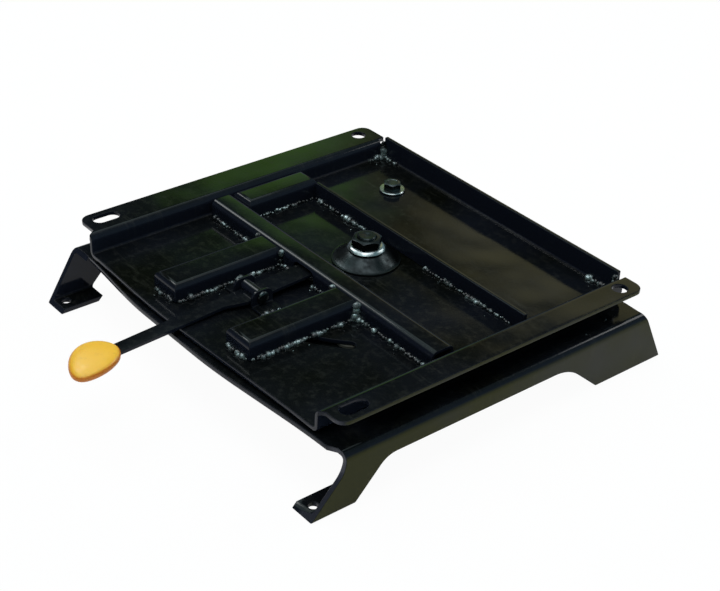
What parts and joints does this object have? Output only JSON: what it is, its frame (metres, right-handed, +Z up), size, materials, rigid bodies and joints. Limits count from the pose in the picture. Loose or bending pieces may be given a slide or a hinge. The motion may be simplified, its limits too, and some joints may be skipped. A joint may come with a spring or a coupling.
{
  "type": "seat swivel base",
  "caption": "Low steel swivel base for a vehicle seat: folded footed frame, turntable tray with raised side flanges, welded channels and a hinged lock lever with oval grip.",
  "frame": {"origin": "centre of the bounding box at the level of the undersides of the feet", "axes": "+Z up; -Y towards the lever and its grip, the front; +X to the right of a person who faces the back of the part from its lever side"},
  "size_m": [0.4736, 0.5758, 0.0999],
  "materials": {
    "black_enamel": "glossy black enamel on folded and welded steel",
    "dark_steel": "oiled dark steel",
    "bright_zinc": "bright zinc plate",
    "glide_nylon": "plain moulded nylon",
    "yellow_grip": "smooth moulded yellow plastic with an orange lower rim"
  },
  "bodies": {
    "base": {"base_frame": "black_enamel", "pivot_bolt": "dark_steel", "pivot_sleeve": "dark_steel", "pivot_cup": "dark_steel", "pivot_collar": "bright_zinc", "pivot_nut": "bright_zinc", "glide_ring": "glide_nylon", "glide_pad_1": "glide_nylon", "glide_pad_2": "glide_nylon", "glide_pad_3": "glide_nylon", "glide_pad_4": "glide_nylon"},
    "tray": {"seat_tray": "black_enamel", "cross_beam": "black_enamel", "left_channel": "black_enamel", "right_channel": "black_enamel", "side_block": "black_enamel", "rear_rib": "black_enamel", "stop_washer": "bright_zinc", "stop_bolt": "bright_zinc", "left_ear": "black_enamel", "right_ear": "black_enamel", "hinge_pin": "bright_zinc", "hinge_nut": "bright_zinc"},
    "lever": {"lever_bar": "black_enamel", "lever_grip": "yellow_grip", "lock_pin": "bright_zinc"}
  },
  "joints": [
    {"name": "swivel", "type": "hinge", "parent": "base", "child": "tray", "pos_m": [-0.01525, 0.0812, 0.0675], "axis": [0, 0, 1], "continuous": true},
    {"name": "lock", "type": "hinge", "parent": "tray", "child": "lever", "pos_m": [-0.01925, -0.0668, 0.0815], "axis": [-1, 0, 0], "range_deg": [0, 5]}
  ]
}
